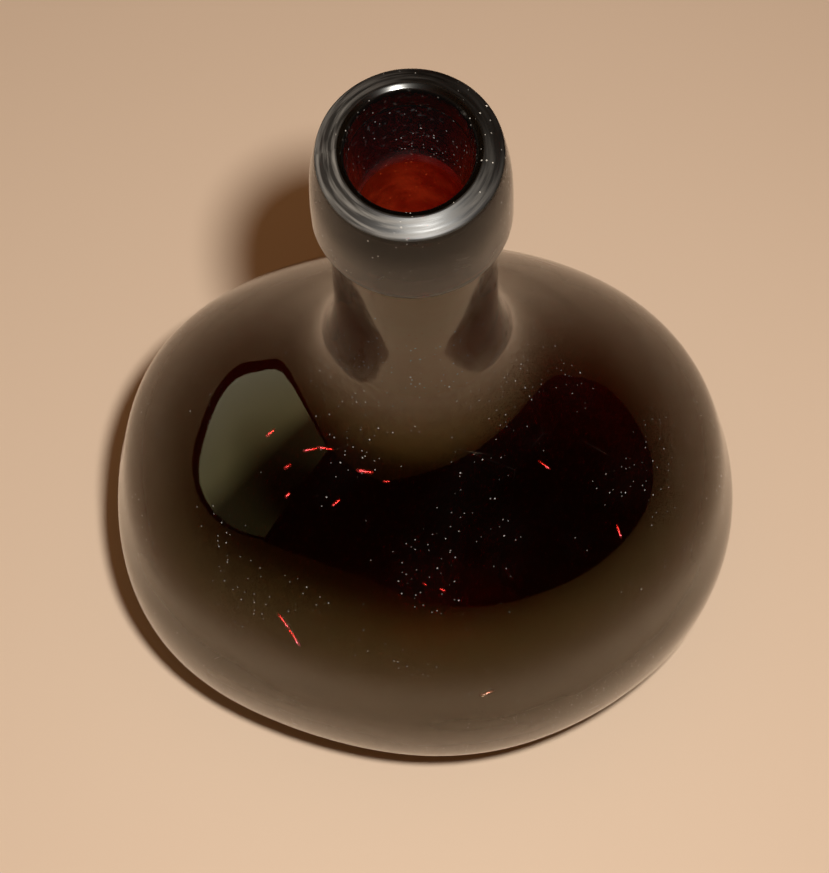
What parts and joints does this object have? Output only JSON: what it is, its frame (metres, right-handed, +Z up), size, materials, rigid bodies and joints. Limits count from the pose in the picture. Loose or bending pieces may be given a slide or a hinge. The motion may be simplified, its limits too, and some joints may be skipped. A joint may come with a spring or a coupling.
{
  "type": "glass flask",
  "caption": "Free-blown flask of very dark red glass with an oval body, sloping shoulders, a short neck and a thick applied collar, open at the mouth.",
  "frame": {"origin": "under the middle of the oval body, on the plane that the standing ring rests on", "axes": "+Z up, +X to the right along the wider way of the oval body, +Y from front to back along the narrower way; the neck leans a little towards -X and -Y"},
  "size_m": [0.139, 0.1109, 0.2051],
  "materials": {
    "body_glass": "fire-polished, mirror smooth, very dark red, with fine dust and a few scratches",
    "collar_glass": "smooth outside, lip worn to a fine satin with small scratches",
    "scar_glass": "broken, rough and glittering"
  },
  "bodies": {
    "root": {"blown_body": "body_glass", "applied_collar": "collar_glass", "pontil_scar": "scar_glass"}
  },
  "joints": []
}
